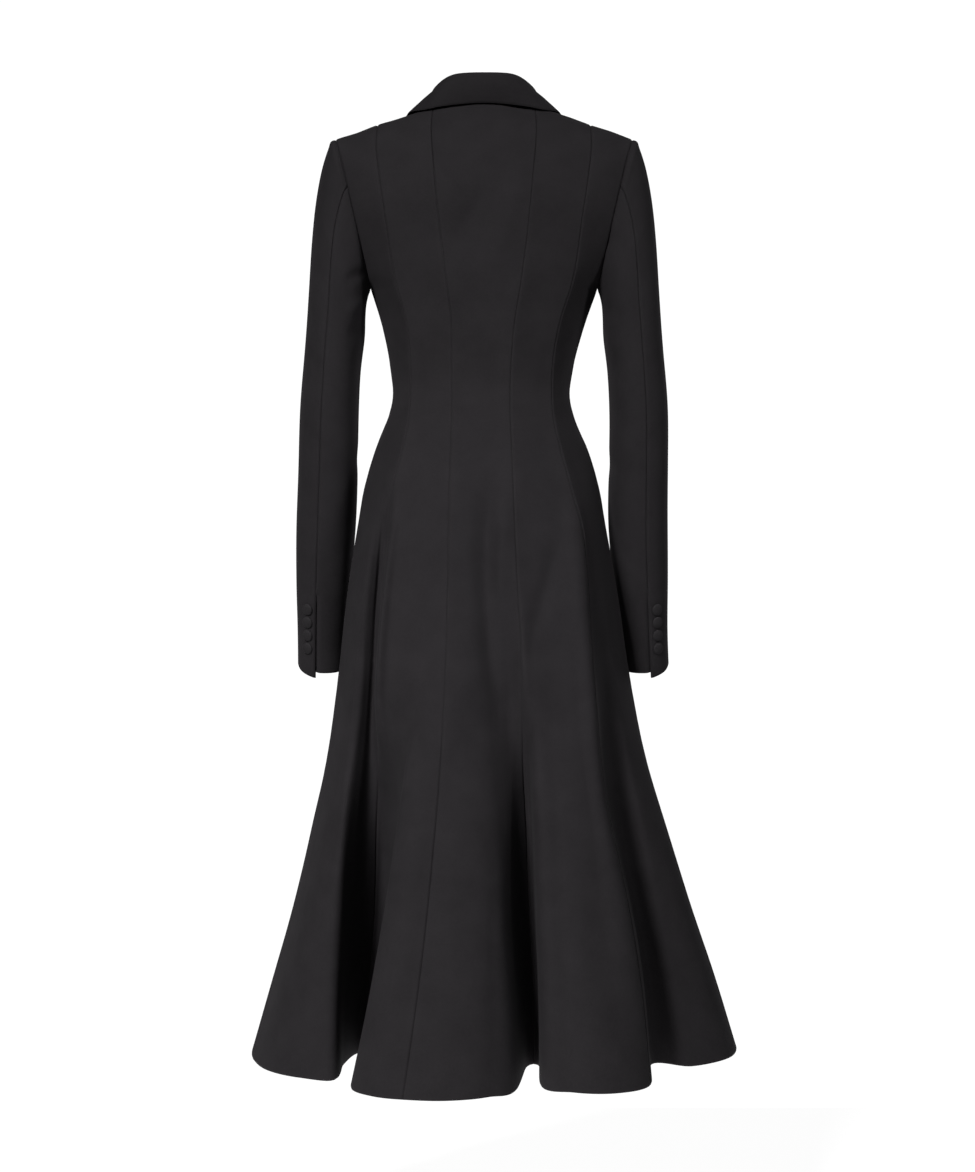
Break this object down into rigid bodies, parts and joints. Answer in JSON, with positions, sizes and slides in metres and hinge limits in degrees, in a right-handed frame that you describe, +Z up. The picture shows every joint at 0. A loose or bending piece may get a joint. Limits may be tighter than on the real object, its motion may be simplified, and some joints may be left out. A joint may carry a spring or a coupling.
{
  "type": "fitted and flared tailored coat",
  "caption": "Tailored coat filled out as worn: fitted princess-seamed body, fall collar, long narrow sleeves with buttoned vents and a flared skirt in deep folds. Covers neck to calf.",
  "frame": {"origin": "base of the neck, between the shoulders, on the line of the shoulder seams, where the wearer carries the coat", "axes": "+Z up, +X towards the wearer's right, +Y towards the wearer's front, so the back faces -Y"},
  "size_m": [0.6206, 0.4973, 1.2457],
  "materials": {
    "wool_crepe": "black wool crepe, matte, fine pebbled weave",
    "covered_button": "the same black crepe stretched over a domed button"
  },
  "bodies": {
    "root": {"centre_back": "wool_crepe", "back_left": "wool_crepe", "back_right": "wool_crepe", "side_back_left": "wool_crepe", "side_back_right": "wool_crepe", "side_front_left": "wool_crepe", "side_front_right": "wool_crepe", "front_left": "wool_crepe", "front_right": "wool_crepe", "top_sleeve_left": "wool_crepe", "top_sleeve_right": "wool_crepe", "under_sleeve_left": "wool_crepe", "under_sleeve_right": "wool_crepe", "collar": "wool_crepe", "lapel_left": "wool_crepe", "lapel_right": "wool_crepe", "cuff_button_left_1": "covered_button", "cuff_button_left_2": "covered_button", "cuff_button_left_3": "covered_button", "cuff_button_left_4": "covered_button", "cuff_button_right_1": "covered_button", "cuff_button_right_2": "covered_button", "cuff_button_right_3": "covered_button", "cuff_button_right_4": "covered_button", "front_button_1": "covered_button", "front_button_2": "covered_button", "front_button_3": "covered_button", "front_button_4": "covered_button"}
  },
  "joints": []
}
